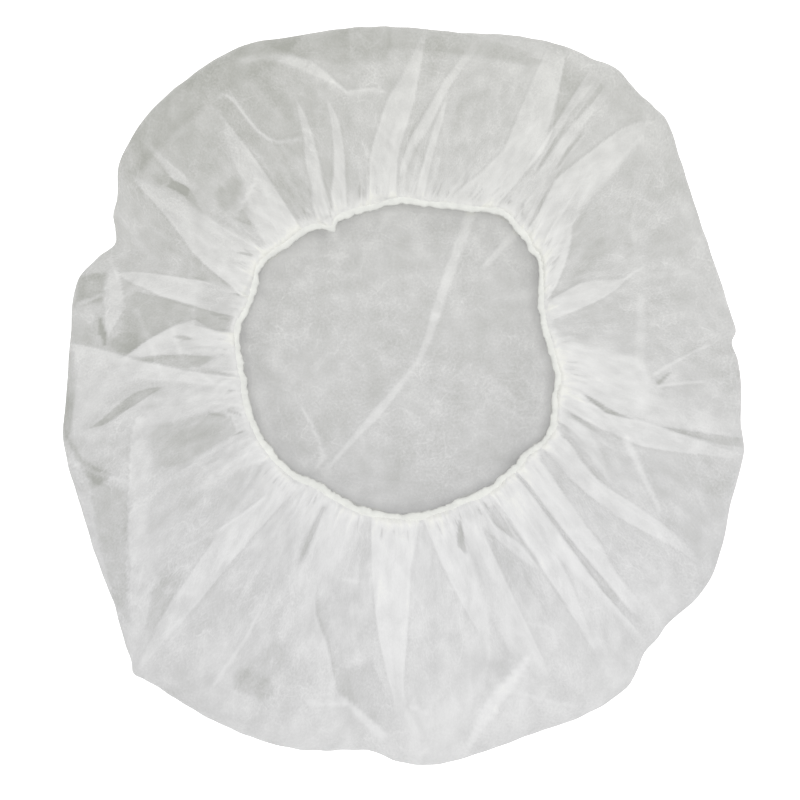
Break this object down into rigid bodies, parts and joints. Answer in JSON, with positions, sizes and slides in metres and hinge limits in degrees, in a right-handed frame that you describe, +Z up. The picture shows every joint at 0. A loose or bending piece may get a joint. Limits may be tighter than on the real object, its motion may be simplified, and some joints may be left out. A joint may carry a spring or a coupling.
{
  "type": "under-helmet cap",
  "caption": "Disposable white nonwoven cap worn under a helmet, lying crown down with its gathered elastic mouth up.",
  "frame": {"origin": "on the floor, under the middle of the cap's box", "axes": "+X across the cap, +Y along its longer way, +Z up out of the mouth"},
  "size_m": [0.332, 0.36, 0.0254],
  "materials": {
    "nonwoven": "matte white spunbond nonwoven",
    "elastic_hem": "matte creamy white gathered elastic hem"
  },
  "bodies": {
    "root": {"cap_body": "nonwoven", "elastic_edge": "elastic_hem"}
  },
  "joints": []
}
